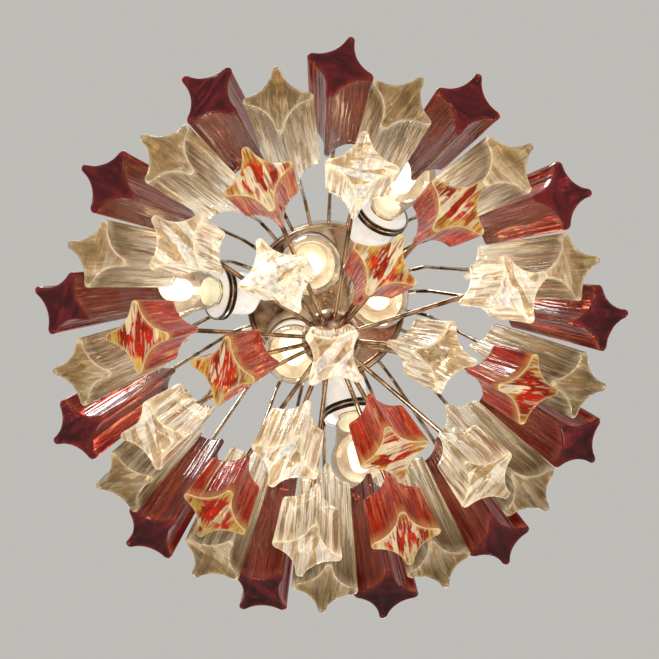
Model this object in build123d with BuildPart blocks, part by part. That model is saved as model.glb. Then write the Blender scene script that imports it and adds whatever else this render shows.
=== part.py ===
"""Murano glass chandelier, close to the ceiling, with four-pointed glass bars on metal arms.

Origin at the centre of the ceiling bracket's top face, +Z up, millimetres. The lamp hangs towards -Z.
A round pan holds six lamps and two rings of long bars. A stem under it carries a ball, from which
two rings of short bars and one bar at the bottom spread. An azimuth turns from +X towards +Y.
"""

import os
from math import asin, cos, degrees, pi, radians, sin

from build123d import *

# Pan against the ceiling
PAN_RADIUS = 84.0
PAN_HEIGHT = 40.0
PAN_WALL = 1.5
PAN_RECESS = 12.0
LIP_BEAD_RADIUS = 2.2
ARM_ROW_DEPTH = 14.0

# Ceiling bracket
BRACKET_LENGTH = 120.0
BRACKET_WIDTH = 22.0
BRACKET_THICKNESS = 3.0
SCREW_SPACING = 70.0
SCREW_SLOT_LENGTH = 20.0
SCREW_SLOT_WIDTH = 5.0

# Stem and ball
STEM_RADIUS = 6.0
STEM_THREAD_RADIUS = 5.0
BALL_RADIUS = 26.0
BALL_DEPTH = 260.0
BALL_SIDES = 20
BALL_BANDS = 8
STEM_SOCKET_DEPTH = 10.0
COLLAR_RADIUS = 11.0
COLLAR_HEIGHT = 8.0
COLLAR_SIDES = 6

# Arms
ROD_RADIUS = 2.0
ROD_SIDES = 6
ROD_INSERT = 18.0
ROD_IN_BALL = 7.0
ARM_LEVEL_RUN = 13.0
ARM_BEND_REACH = 26.0
ARM_BEND_FALL = 8.7
OUTER_BEND_GAP = 2.0
INNER_BEND_GAP = 4.0

# Arms that arch over a leaning lamp, from where the bulb ends: how far in or out, and how far down
ARCH_SHOULDER = 45.0
ARCH_SHOULDER_FALL = 8.0
ARCH_BEYOND = 12.0
ARCH_BEYOND_FALL = 32.0
ARCH_OUTSIDE = 24.0
ARCH_OUTSIDE_FALL = 56.0

# Glass bars
LONG_BAR = 144.0
SHORT_BAR = 58.5
BAR_SLOPE = 67.0
TIP_RADIUS = 29.0
VALLEY_RADIUS = 16.0
TIP_WIDTH = 6.6
TIP_CHAMFER = 1.9
SIDE_FLATS = 4
INNER_END_SCALE = 0.84

# Rings of bars: how many, how far out, how deep their faces are and where the first one stands.
# A depth is under the ceiling, and a drop is under the ball's centre, which carries the inner rings.
RUBY_COUNT = 13
RUBY_RADIUS = 232.0
RUBY_DEPTH = 285.0
RUBY_START = -88.25
CLEAR_RADIUS = 209.6
CLEAR_DEPTH = 314.0
MIDDLE_COUNT = 12
MIDDLE_RADIUS = 155.0
MIDDLE_DROP = 116.0
MIDDLE_START = -112.0
CENTRE_COUNT = 6
CENTRE_RADIUS = 87.7
CENTRE_DROP = 120.0
CENTRE_START = -123.4
BOTTOM_PEG_RUN = 9.5

# How far each bar is turned on its own arm
RUBY_TURNS = (-19, 7, -27, 1, -24, -19, -16, -27, -13, 10, -15, 8, 29)
CLEAR_TURNS = (-8, -23, -9, -6, 0, -10, -7, -5, -12, -17, -3, 6, 15)
MIDDLE_TURNS = (3, 3, -10, 2, -2, -3, -11, -7, 5, -15, 12, -7)
CENTRE_TURNS = (-9, -6, -16, -16, 0, -14)
BOTTOM_TURN = -41

# Lamps
SOCKET_RADIUS = 21.5
SOCKET_LENGTH = 48.0
SOCKET_RING_RADIUS = 28.5
SOCKET_RING_WIDTH = 9.0
SOCKET_BORE_DEPTH = 29.0
NIPPLE_RADIUS = 5.0
NIPPLE_SIDES = 8
NIPPLE_ABOVE_DISC = 6.0
CAP_RADIUS = 13.0
CAP_LENGTH = 27.0
BULB_RADIUS = 30.0
BULB_LENGTH = 105.0
BULB_NECK_RADIUS = 16.0
NECK_FLARE = 8.0
GLOBE_TURNS = (120, 90, 60, 32, 10)
STRAIGHT_LAMP_INSET = 32.0
STRAIGHT_LAMP_AZIMUTHS = (-109.0, -18.0, 131.0)
LEANING_LAMP_TILT = 57.0
LEANING_LAMP_INSET = 9.0
LEANING_LAMP_DROP = 15.0
LEANING_RUBY_ARMS = (1, 6, 10)
LAMP_SIDES = 16

# Terminal block
BLOCK_LENGTH = 34.0
BLOCK_WIDTH = 16.0
BLOCK_HEIGHT = 13.0
BLOCK_RADIUS = 50.0
BLOCK_AZIMUTH = 30.0
BLOCK_WIRE_RADIUS = 1.8
BLOCK_WIRE_HOLES = 3

# Clearances
SEAT = 0.3
RUNNING_FIT = 0.05
HOLE_CLEARANCE = 0.1

DISC_UNDERSIDE = -(PAN_HEIGHT - PAN_RECESS)
DISC_TOP = DISC_UNDERSIDE + PAN_WALL
BALL_CENTRE = Vector(0, 0, -BALL_DEPTH)
BOTTOM_DEPTH = BALL_DEPTH + BALL_RADIUS + BOTTOM_PEG_RUN + SHORT_BAR
LEANING_BASE_RADIUS = PAN_RADIUS - LEANING_LAMP_INSET
LEANING_BASE_DEPTH = PAN_HEIGHT + LEANING_LAMP_DROP

os.makedirs("parts", exist_ok=True)


def place(radius, azimuth, height):
    """The point at a radius and azimuth round the lamp's axis, at a height."""
    turn = radians(azimuth)
    return Vector(radius * cos(turn), radius * sin(turn), height)


def outward(azimuth):
    """The level direction away from the lamp's axis."""
    return place(1, azimuth, 0)


def sloping(azimuth, below_level):
    """The direction that leaves outward and falls below level by an angle."""
    fall = radians(below_level)
    return outward(azimuth) * cos(fall) - Vector(0, 0, sin(fall))


def save(piece, name):
    """Labels a finished piece and writes it under its name."""
    piece.part.label = name
    export_step(piece.part, f"parts/{name}.step")


def faceted(rings):
    """A closed solid of flat faces between rings of as many corners each, with a cap at both ends."""
    faces = [Face(Wire.make_polygon(rings[0])), Face(Wire.make_polygon(rings[-1]))]
    for near, far in zip(rings, rings[1:]):
        for corner in range(len(near)):
            before = corner - 1
            faces.append(Face(Wire.make_polygon([near[before], near[corner], far[corner], far[before]])))
    return Solid(Shell(faces))


def ring_of_corners(centre, axis, radius, sides):
    """The corners of a regular polygon square to an axis."""
    plane = Plane(origin=centre, z_dir=axis)
    step = 2 * pi / sides
    return [
        plane.from_local_coords(Vector(radius * cos(step * k), radius * sin(step * k)))
        for k in range(sides)
    ]


def star_corners(scale):
    """Corners of the four-pointed section: hollow sides ground as flats, and blunt chamfered tips."""
    half_tip = TIP_WIDTH / 2
    shoulder = Vector(TIP_RADIUS - TIP_CHAMFER, half_tip)
    valley = Vector(VALLEY_RADIUS, 0).rotate(Axis.Z, 45)
    far_shoulder = Vector(shoulder.Y, shoulder.X)
    half_chord = (far_shoulder - shoulder).length / 2
    hollow = ((shoulder + far_shoulder) * 0.5 - valley).length
    side_radius = (half_chord**2 + hollow**2) / (2 * hollow)
    side_centre = valley.normalized() * (VALLEY_RADIUS + side_radius)
    half_side = degrees(asin(half_chord / side_radius))
    corners = []
    for quarter in range(4):
        corners.append(Vector(TIP_RADIUS, -half_tip + TIP_CHAMFER).rotate(Axis.Z, 90 * quarter))
        corners.append(Vector(TIP_RADIUS, half_tip - TIP_CHAMFER).rotate(Axis.Z, 90 * quarter))
        for flat in range(SIDE_FLATS + 1):
            turn = 225 + half_side - 2 * half_side * flat / SIDE_FLATS
            on_side = side_centre + Vector(side_radius, 0).rotate(Axis.Z, turn)
            corners.append(on_side.rotate(Axis.Z, 90 * quarter))
    return [corner * scale for corner in corners]


def glass_bar(face_centre, axis, tangent, turn, length):
    """One solid bar: narrower at its inner end, with a blind bore there for its arm."""
    across = tangent.rotate(Axis(face_centre, axis), turn)
    inner_end = face_centre - axis * length
    near = Plane(origin=inner_end, x_dir=across, z_dir=axis)
    far = Plane(origin=face_centre, x_dir=across, z_dir=axis)
    near_ring = [near.from_local_coords(corner) for corner in star_corners(INNER_END_SCALE)]
    far_ring = [far.from_local_coords(corner) for corner in star_corners(1)]
    with BuildPart() as bar:
        add(faceted([near_ring, far_ring]))
        with BuildSketch(near):
            RegularPolygon(ROD_RADIUS + HOLE_CLEARANCE, ROD_SIDES, major_radius=False)
        extrude(amount=ROD_INSERT + SEAT, mode=Mode.SUBTRACT)
    return bar


def ring_of_bars(name, first, step, radius, depth, length, turns):
    """Makes and writes the bars of one ring, and returns each one's azimuth and inner end."""
    ends = []
    for index, turn in enumerate(turns):
        azimuth = first + step * index
        axis = sloping(azimuth, BAR_SLOPE)
        face_centre = place(radius, azimuth, -depth)
        tangent = outward(azimuth + 90)
        bar = glass_bar(face_centre, axis, tangent, turn, length)
        save(bar, name(index))
        ends.append((azimuth, face_centre - axis * length))
    return ends


def arm(corners):
    """A rod bent at the corners of its route, with a round section given as six flats."""
    start, second = corners[0], corners[1]
    with BuildPart() as rod:
        with BuildLine() as route:
            Polyline(*corners)
        with BuildSketch(Plane(origin=start, z_dir=second - start)):
            RegularPolygon(ROD_RADIUS, ROD_SIDES, major_radius=True)
        sweep(path=route.line, transition=Transition.RIGHT)
    return rod.part.solid()


def ruby_name(index):
    return f"ruby_bar_{index + 1:02d}"


def clear_name(index):
    return f"clear_bar_{index + 1:02d}"


def middle_name(index):
    colour = "amber" if index % 2 == 0 else "clear"
    return f"middle_{colour}_bar_{index + 1:02d}"


def centre_name(index):
    colour = "clear" if index % 2 == 0 else "amber"
    return f"centre_{colour}_bar_{index + 1:02d}"


# Glass bars
outer_step = 360 / RUBY_COUNT
ruby_ends = ring_of_bars(
    ruby_name, RUBY_START, outer_step, RUBY_RADIUS, RUBY_DEPTH, LONG_BAR, RUBY_TURNS
)
clear_start = RUBY_START - outer_step / 2
clear_ends = ring_of_bars(
    clear_name, clear_start, outer_step, CLEAR_RADIUS, CLEAR_DEPTH, LONG_BAR, CLEAR_TURNS
)
middle_depth = BALL_DEPTH + MIDDLE_DROP
middle_ends = ring_of_bars(
    middle_name, MIDDLE_START, 360 / MIDDLE_COUNT, MIDDLE_RADIUS, middle_depth, SHORT_BAR, MIDDLE_TURNS
)
centre_depth = BALL_DEPTH + CENTRE_DROP
centre_ends = ring_of_bars(
    centre_name, CENTRE_START, 360 / CENTRE_COUNT, CENTRE_RADIUS, centre_depth, SHORT_BAR, CENTRE_TURNS
)
down = Vector(0, 0, -1)
bottom_face = Vector(0, 0, -BOTTOM_DEPTH)
save(glass_bar(bottom_face, down, Vector(0, 1, 0), BOTTOM_TURN, SHORT_BAR), "bottom_clear_bar")

# Lamps: where each socket's base stands, and the way its bulb points
lamps = []
for azimuth in STRAIGHT_LAMP_AZIMUTHS:
    lamps.append((place(PAN_RADIUS - STRAIGHT_LAMP_INSET, azimuth, DISC_UNDERSIDE), down))
for index in LEANING_RUBY_ARMS:
    azimuth = ruby_ends[index][0]
    base = place(LEANING_BASE_RADIUS, azimuth, -LEANING_BASE_DEPTH)
    lamps.append((base, sloping(azimuth, 90 - LEANING_LAMP_TILT)))


def nipple_length(base, pointing):
    """From a socket's base back along its axis to just above the pan's disc."""
    return (DISC_TOP + NIPPLE_ABOVE_DISC - base.Z) / -pointing.Z


# Arms to the long bars. Where a lamp leans in front of one, the arm arches over the lamp's bulb.
arch_reach = LEANING_BASE_RADIUS + (SOCKET_LENGTH + BULB_LENGTH - CAP_LENGTH) * sin(
    radians(LEANING_LAMP_TILT)
)
outer_rods = []
for row, ends in enumerate((ruby_ends, clear_ends)):
    height = -ARM_ROW_DEPTH
    for index, (azimuth, end) in enumerate(ends):
        axis = sloping(azimuth, BAR_SLOPE)
        start = place(PAN_RADIUS + RUNNING_FIT, azimuth, height)
        stop = end + axis * ROD_INSERT
        glass_bend = end - axis * OUTER_BEND_GAP
        level = place(PAN_RADIUS + ARM_LEVEL_RUN, azimuth, height)
        if row == 0 and index in LEANING_RUBY_ARMS:
            over = place(arch_reach - ARCH_SHOULDER, azimuth, height - ARCH_SHOULDER_FALL)
            beyond = place(arch_reach + ARCH_BEYOND, azimuth, height - ARCH_BEYOND_FALL)
            outside = place(arch_reach + ARCH_OUTSIDE, azimuth, height - ARCH_OUTSIDE_FALL)
            corners = [start, level, over, beyond, outside, glass_bend, stop]
        else:
            falling = place(PAN_RADIUS + ARM_BEND_REACH, azimuth, height - ARM_BEND_FALL)
            corners = [start, level, falling, glass_bend, stop]
        outer_rods.append(arm(corners))
outer_arms = Compound(label="outer_arms", children=outer_rods)
export_step(outer_arms, "parts/outer_arms.step")

# Arms from the ball to the short bars, and the straight peg under it
inner_rods = []
arm_directions = []
for azimuth, end in middle_ends + centre_ends:
    axis = sloping(azimuth, BAR_SLOPE)
    glass_bend = end - axis * INNER_BEND_GAP
    from_ball = (glass_bend - BALL_CENTRE).normalized()
    start = BALL_CENTRE + from_ball * (BALL_RADIUS - ROD_IN_BALL)
    inner_rods.append(arm([start, glass_bend, end + axis * ROD_INSERT]))
    arm_directions.append(from_ball)
peg_top = BALL_CENTRE + down * (BALL_RADIUS - ROD_IN_BALL)
inner_rods.append(arm([peg_top, bottom_face - down * (SHORT_BAR - ROD_INSERT)]))
arm_directions.append(down)
inner_arms = Compound(label="inner_arms", children=inner_rods)
export_step(inner_arms, "parts/inner_arms.step")

# Pan: one turned shell with a rolled lip, its disc set back inside the lip
with BuildPart() as pan:
    with BuildSketch(Plane.XZ):
        with BuildLine():
            Polyline(
                (PAN_RADIUS, 0),
                (PAN_RADIUS, -PAN_HEIGHT + LIP_BEAD_RADIUS),
                (PAN_RADIUS - LIP_BEAD_RADIUS, -PAN_HEIGHT),
                (PAN_RADIUS - LIP_BEAD_RADIUS * 2, -PAN_HEIGHT + LIP_BEAD_RADIUS),
                (PAN_RADIUS - LIP_BEAD_RADIUS * 2, DISC_UNDERSIDE),
                (0, DISC_UNDERSIDE),
                (0, DISC_TOP),
                (PAN_RADIUS - PAN_WALL, DISC_TOP),
                (PAN_RADIUS - PAN_WALL, 0),
                close=True,
            )
        make_face()
    revolve(axis=Axis.Z)
    with BuildSketch(Plane.XY.offset(DISC_UNDERSIDE)):
        Circle(STEM_RADIUS + HOLE_CLEARANCE)
    extrude(amount=PAN_WALL, mode=Mode.SUBTRACT)
    for base, pointing in lamps:
        with BuildSketch(Plane(origin=base, z_dir=-pointing)):
            RegularPolygon(NIPPLE_RADIUS + HOLE_CLEARANCE, NIPPLE_SIDES, major_radius=True)
        extrude(amount=nipple_length(base, pointing), mode=Mode.SUBTRACT)
save(pan, "pan")

# Ceiling bracket: a strap with two screw slots and a hole for the stem's thread
with BuildPart() as bracket:
    with BuildSketch(Plane.XY.offset(-BRACKET_THICKNESS)):
        Rectangle(BRACKET_LENGTH, BRACKET_WIDTH)
        Circle(STEM_THREAD_RADIUS + HOLE_CLEARANCE, mode=Mode.SUBTRACT)
        with Locations((-SCREW_SPACING / 2, 0), (SCREW_SPACING / 2, 0)):
            SlotOverall(SCREW_SLOT_LENGTH, SCREW_SLOT_WIDTH, mode=Mode.SUBTRACT)
    extrude(amount=BRACKET_THICKNESS)
save(bracket, "ceiling_bracket")

# Stem: its thread fills the bracket's hole, and its foot stands in the ball
stem_foot = -BALL_DEPTH + BALL_RADIUS - STEM_SOCKET_DEPTH
with BuildPart() as stem:
    with BuildSketch(Plane.XY.offset(stem_foot)):
        Circle(STEM_RADIUS)
    extrude(amount=-BRACKET_THICKNESS - stem_foot)
    with BuildSketch(Plane.XY.offset(-BRACKET_THICKNESS)):
        Circle(STEM_THREAD_RADIUS)
    extrude(amount=BRACKET_THICKNESS - SEAT)
save(stem, "stem")

# Collar that clamps the pan from below
with BuildPart() as collar:
    with BuildSketch(Plane.XY.offset(DISC_UNDERSIDE - COLLAR_HEIGHT)):
        RegularPolygon(COLLAR_RADIUS, COLLAR_SIDES, major_radius=True)
        Circle(STEM_RADIUS + HOLE_CLEARANCE, mode=Mode.SUBTRACT)
    extrude(amount=COLLAR_HEIGHT)
save(collar, "pan_collar")

# Ball: flats round it stand for its curve, and every arm and the stem has a pocket in it
ball_rings = []
for band in range(BALL_BANDS):
    turn = pi * (band + 0.5) / BALL_BANDS
    centre = BALL_CENTRE + Vector(0, 0, BALL_RADIUS * cos(turn))
    ball_rings.append(ring_of_corners(centre, (0, 0, 1), BALL_RADIUS * sin(turn), BALL_SIDES))
with BuildPart() as ball:
    add(faceted(ball_rings))
    with BuildSketch(Plane.XY.offset(stem_foot)):
        Circle(STEM_RADIUS + HOLE_CLEARANCE)
    extrude(amount=STEM_SOCKET_DEPTH, mode=Mode.SUBTRACT)
    for from_ball in arm_directions:
        pocket = BALL_CENTRE + from_ball * (BALL_RADIUS - ROD_IN_BALL - HOLE_CLEARANCE)
        with BuildSketch(Plane(origin=pocket, z_dir=from_ball)):
            RegularPolygon(ROD_RADIUS + HOLE_CLEARANCE, ROD_SIDES, major_radius=True)
        extrude(amount=2 * ROD_IN_BALL, mode=Mode.SUBTRACT)
save(ball, "ball")

# Lamp sockets: a nipple into the pan, a round body and a double ring round the mouth
sockets = []
for base, pointing in lamps:
    mouth = base + pointing * SOCKET_LENGTH
    with BuildPart() as socket:
        with BuildSketch(Plane(origin=base, z_dir=-pointing)):
            RegularPolygon(NIPPLE_RADIUS, NIPPLE_SIDES, major_radius=True)
        extrude(amount=nipple_length(base, pointing))
        with BuildSketch(Plane(origin=base, z_dir=pointing)):
            RegularPolygon(SOCKET_RADIUS, LAMP_SIDES, major_radius=True)
        extrude(amount=SOCKET_LENGTH)
        with BuildSketch(Plane(origin=mouth, z_dir=-pointing)):
            RegularPolygon(SOCKET_RING_RADIUS, LAMP_SIDES, major_radius=True)
        extrude(amount=SOCKET_RING_WIDTH)
        with BuildSketch(Plane(origin=mouth, z_dir=-pointing)):
            RegularPolygon(CAP_RADIUS + RUNNING_FIT, LAMP_SIDES, major_radius=False)
        extrude(amount=SOCKET_BORE_DEPTH, mode=Mode.SUBTRACT)
    sockets.append(socket.part.solid())
lamp_sockets = Compound(label="lamp_sockets", children=sockets)
export_step(lamp_sockets, "parts/lamp_sockets.step")

# Bulbs: a screw cap in the socket and a pear-shaped glass, turned in flats
sphere_centre = BULB_LENGTH - BULB_RADIUS
for index, (base, pointing) in enumerate(lamps):
    seat = base + pointing * (SOCKET_LENGTH - CAP_LENGTH)
    stations = [(CAP_LENGTH, CAP_RADIUS), (CAP_LENGTH + NECK_FLARE, BULB_NECK_RADIUS)]
    for turn in GLOBE_TURNS:
        along = sphere_centre + BULB_RADIUS * cos(radians(turn))
        stations.append((along, BULB_RADIUS * sin(radians(turn))))
    glass_rings = [
        ring_of_corners(seat + pointing * along, pointing, radius, LAMP_SIDES)
        for along, radius in stations
    ]
    with BuildPart() as bulb:
        with BuildSketch(Plane(origin=seat, z_dir=pointing)):
            RegularPolygon(CAP_RADIUS, LAMP_SIDES, major_radius=True)
        extrude(amount=CAP_LENGTH)
        add(faceted(glass_rings))
    save(bulb, f"bulb_{index + 1}")

# Terminal block on the pan's disc, with a hole through it for each wire
block_centre = place(BLOCK_RADIUS, BLOCK_AZIMUTH, DISC_TOP)
with BuildPart() as block:
    with BuildSketch(Plane(origin=block_centre, x_dir=outward(BLOCK_AZIMUTH + 90), z_dir=(0, 0, 1))):
        Rectangle(BLOCK_LENGTH, BLOCK_WIDTH)
    extrude(amount=BLOCK_HEIGHT)
    side = block_centre + Vector(0, 0, BLOCK_HEIGHT / 2) - outward(BLOCK_AZIMUTH) * BLOCK_WIDTH / 2
    with BuildSketch(Plane(origin=side, x_dir=outward(BLOCK_AZIMUTH + 90), z_dir=outward(BLOCK_AZIMUTH))):
        with GridLocations(BLOCK_LENGTH / BLOCK_WIRE_HOLES, 1, BLOCK_WIRE_HOLES, 1):
            RegularPolygon(BLOCK_WIRE_RADIUS, ROD_SIDES)
    extrude(amount=BLOCK_WIDTH, mode=Mode.SUBTRACT)
save(block, "terminal_block")
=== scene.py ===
import random
from math import acos, atan2, cos, degrees, pi, radians, sin, sqrt, tau

import bpy
from bpy.props import FloatProperty, FloatVectorProperty, IntProperty, PointerProperty
from mathutils import Matrix, Vector, noise


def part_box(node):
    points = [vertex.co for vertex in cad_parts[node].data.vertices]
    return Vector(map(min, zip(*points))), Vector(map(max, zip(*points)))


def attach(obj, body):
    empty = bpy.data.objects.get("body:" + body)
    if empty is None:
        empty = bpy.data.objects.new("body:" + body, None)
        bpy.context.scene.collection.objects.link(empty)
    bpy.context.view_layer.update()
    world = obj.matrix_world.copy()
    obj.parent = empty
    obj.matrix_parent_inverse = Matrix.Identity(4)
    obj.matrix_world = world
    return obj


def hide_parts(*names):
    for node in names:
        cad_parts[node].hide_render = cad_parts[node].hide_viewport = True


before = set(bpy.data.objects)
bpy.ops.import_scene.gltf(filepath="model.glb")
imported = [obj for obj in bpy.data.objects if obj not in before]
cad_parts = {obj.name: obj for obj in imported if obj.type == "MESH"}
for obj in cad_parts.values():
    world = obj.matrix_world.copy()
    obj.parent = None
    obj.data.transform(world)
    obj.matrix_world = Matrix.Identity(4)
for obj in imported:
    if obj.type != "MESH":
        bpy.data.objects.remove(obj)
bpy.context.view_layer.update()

bl_info = {
    "name": "Glass bar chandelier",
    "version": (1, 0, 0),
    "blender": (4, 5, 0),
    "location": "3D View > Sidebar > Chandelier",
    "description": "Dresses a ceiling chandelier of four-pointed glass bars on bent metal rods",
    "category": "Object",
}

FRAME_BODY = "lamp_frame"
DOWN = Vector((0, 0, -1))
MILLIMETRE = 0.001
GLASS_SEED = 7

# Distances that count as none: from an axis, between doubled points, and from a flat face
NEARLY_ZERO = 1e-6
SAME_PLACE = 1e-5
SAME_LEVEL = 0.0002

# How much light each glass lets through, at a bar's sides and at its outer face
SEEN_THROUGH = {"ruby": (0.9, 0.85), "clear": (0.92, 0.80), "amber": (0.88, 0.5)}

# How the patches and lines in the glass run, along a bar's sides and across its outer face
SIDE_GRAIN = dict(
    patch_run=(1, 1, 0.045), patch_scale=360.0, line_run=(1, 1, 0.015), line_scale=950.0, roughness=0.05,
    bump=0.25,
)
FACE_GRAIN = dict(
    patch_run=(0.22, 1, 1), patch_scale=190.0, line_run=(0.12, 1, 1), line_scale=520.0, roughness=0.10,
    bump=0.05,
)

# From the lamp's axis: where the painted lamp light on the glass starts, and where it is full
LIT_BAND = (0.215, 0.150)

# The parts of a noise's range that clouds, grain, dark lines and light lines are spread over
CLOUD_BAND = (0.35, 0.7)
GRAIN_BAND = (0.3, 0.7)
DARK_LINES = (0.46, 0.42)
LIGHT_LINES = (0.56, 0.60)

# How wide the border of a patch of glass is, in the patches' own range
PATCH_BORDER = 0.06
DARK_BORDER = 0.08

# Rings of points on a bar's outer face, as shares of its radius, and on its softened edge, each with
# its share of the edge's depth. The innermost ring is nearly a point.
NEARLY_POINT = 0.001
FACE_RINGS = (NEARLY_POINT, 0.2, 0.4, 0.6, 0.78, 0.9)
EDGE_RINGS = ((0.945, 0.0), (0.97, 0.16), (0.988, 0.45), (1.0, 1.0))

# The painted highlight round a bar's rim: where it starts and how wide it is, as shares of the radius, and
# how deep it goes
RIM_START = 0.88
RIM_WIDTH = 0.07
RIM_DEPTH = 0.0035

# A bar's surface: a little past its edge or its bore, how far below the edge the ribs come to their
# height, and how close the ripples of the face are
PAST_EDGE = 1.01
PAST_BORE = 1.05
RIB_FADE = 0.012
RIPPLES = 95

# Waves of the ribs: height, pace round the side, shift, and how far and how slowly they sway
RIB_WAVES = ((0.55, 1.0, 0.0, 0.9, 0.07), (0.35, 0.618, 1.7, 0.7, 0.11), (0.25, 1.47, 0.6, 0.0, 1.0))

# A rod arches over a leaning lamp that is within this angle of it, and a bend takes at most this share
# of the straight run beside it
ARCH_WITHIN = radians(4)
BEND_SHARE = 0.45

# Lamps: how far a nipple stands over the pan's disc, the bulbs' wall, and their lit core and its glow
NIPPLE_ABOVE_DISC = 0.006
BULB_WALL = 0.0009
CORE_RADIUS = 0.0105
GLOW_RADIUS = 0.0235

# Soft lights: their names, their places and their power as a share of the key light's
LIGHTS = (
    ("key_light", (-0.45, -0.55, -1.55), 1.0),
    ("fill_light", (1.3, 0.4, -0.35), 0.6),
    ("back_light", (0.3, 1.3, 0.35), 0.9),
    ("top_light", (-0.4, -0.9, 1.1), 0.9),
)
LIGHT_AIM = (0, 0, -0.2)
LIGHT_SIZE = 0.4


def length_setting(name, description, default):
    """A size that a user can change, in metres."""
    return FloatProperty(name=name, description=description, default=default, unit="LENGTH", precision=5)


def colour_setting(name, description, default):
    """A colour that a user can change."""
    return FloatVectorProperty(
        name=name, description=description, default=default, subtype="COLOR", size=3, min=0, max=1
    )


class GlassBarSettings(bpy.types.PropertyGroup):
    """Sizes and colours of the glass bars"""

    slope: FloatProperty(
        name="Slope", description="How far below level the bars point", default=radians(67), subtype="ANGLE"
    )
    points: IntProperty(name="Points", description="Points round one quarter of the star", default=60)
    tip_radius: length_setting("Tip radius", "From a bar's axis to its tips", 0.029)
    valley_radius: length_setting("Valley radius", "From a bar's axis to the hollow of its sides", 0.016)
    tip_round: length_setting("Tip rounding", "Radius of a rounded tip", 0.0033)
    inner_scale: FloatProperty(
        name="Inner end", description="Inner end's size, as a share", default=0.84, subtype="FACTOR",
        min=0, max=1,
    )
    edge: length_setting("Edge", "Depth of the softened edge round the outer face", 0.0018)
    dish: length_setting("Dish", "How far the outer face is sunk at its middle", 0.0009)
    ripple: length_setting("Ripple", "Height of the waves in the outer face", 0.00022)
    rib: length_setting("Rib height", "Height of the ribs along the sides", 0.00034)
    rib_width: length_setting("Rib width", "Width of one rib along the sides", 0.0046)
    bore_radius: length_setting("Bore radius", "Radius of the bore that holds the rod", 0.0021)
    bore_depth: length_setting("Bore depth", "Depth of the bore that holds the rod", 0.0183)
    ring_step: length_setting("Ring step", "Distance between rings of points along a bar", 0.011)
    ruby: colour_setting("Ruby", "Deep red of the outer ring's faces", (0.12, 0.002, 0.008))
    ruby_side: colour_setting("Ruby sides", "Copper red of the ruby bars' sides", (0.42, 0.045, 0.022))
    clear: colour_setting("Clear", "Champagne of the clear faces", (0.24, 0.125, 0.028))
    clear_side: colour_setting("Clear sides", "Champagne of the clear sides", (0.29, 0.155, 0.042))
    amber: colour_setting("Amber", "Orange red of the amber bars' core", (0.84, 0.03, 0.006))
    amber_tip: colour_setting("Amber tips", "Gold of the amber bars' tips", (0.93, 0.70, 0.12))


class RodSettings(bpy.types.PropertyGroup):
    """Sizes and colours of the bent rods and of the other metal"""

    radius: length_setting("Rod radius", "Radius of a rod", 0.002)
    row_depth: length_setting("Row depth", "How far below the ceiling the outer rods leave the pan", 0.014)
    level_run: length_setting("Level run", "How far from the pan an outer rod stays level", 0.013)
    bend_reach: length_setting("Bend reach", "How far from the pan an outer rod's first bend ends", 0.026)
    bend_fall: length_setting("Bend fall", "How far an outer rod falls in its first bend", 0.0087)
    outer_bend_gap: length_setting("Outer bend gap", "From an outer rod's last bend to its glass", 0.002)
    inner_bend_gap: length_setting("Inner bend gap", "From an inner rod's bend to its glass", 0.004)
    bend: length_setting("Bend", "How far from a corner a bend starts", 0.009)
    insert: length_setting("Insert", "How deep a rod stands in its glass bar", 0.018)
    arch_shoulder: length_setting("Arch shoulder", "How far inside the bulb's tip it starts to fall", 0.045)
    arch_shoulder_fall: length_setting("Arch shoulder fall", "An arched rod's fall at its shoulder", 0.008)
    arch_beyond: length_setting("Arch beyond", "How far beyond the bulb an arched rod falls past it", 0.012)
    arch_beyond_fall: length_setting("Arch beyond fall", "An arched rod's fall beyond the bulb", 0.032)
    arch_outside: length_setting("Arch outside", "How far outside the bulb an arched rod turns back", 0.024)
    arch_outside_fall: length_setting("Arch outside fall", "An arched rod's fall where it turns back", 0.056)
    ball_radius: length_setting("Ball radius", "Radius of the ball that holds the inner rods", 0.026)
    rod_in_ball: length_setting("Rod in ball", "How deep a rod stands in the ball", 0.007)
    ferrule_radius: length_setting("Ferrule radius", "Radius of the ferrule under a glass bar", 0.0036)
    ferrule_length: length_setting("Ferrule length", "Length of the ferrule under a glass bar", 0.0065)
    chrome: colour_setting("Chrome", "Warm chrome of the pan", (0.70, 0.52, 0.34))
    rod_chrome: colour_setting("Rod chrome", "Warm chrome of the rods", (0.60, 0.44, 0.28))
    brass: colour_setting("Brass", "Brass of the ferrules and caps", (0.72, 0.48, 0.20))
    steel: colour_setting("Steel", "Zinc-plated steel of the bracket", (0.50, 0.50, 0.49))


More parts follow.
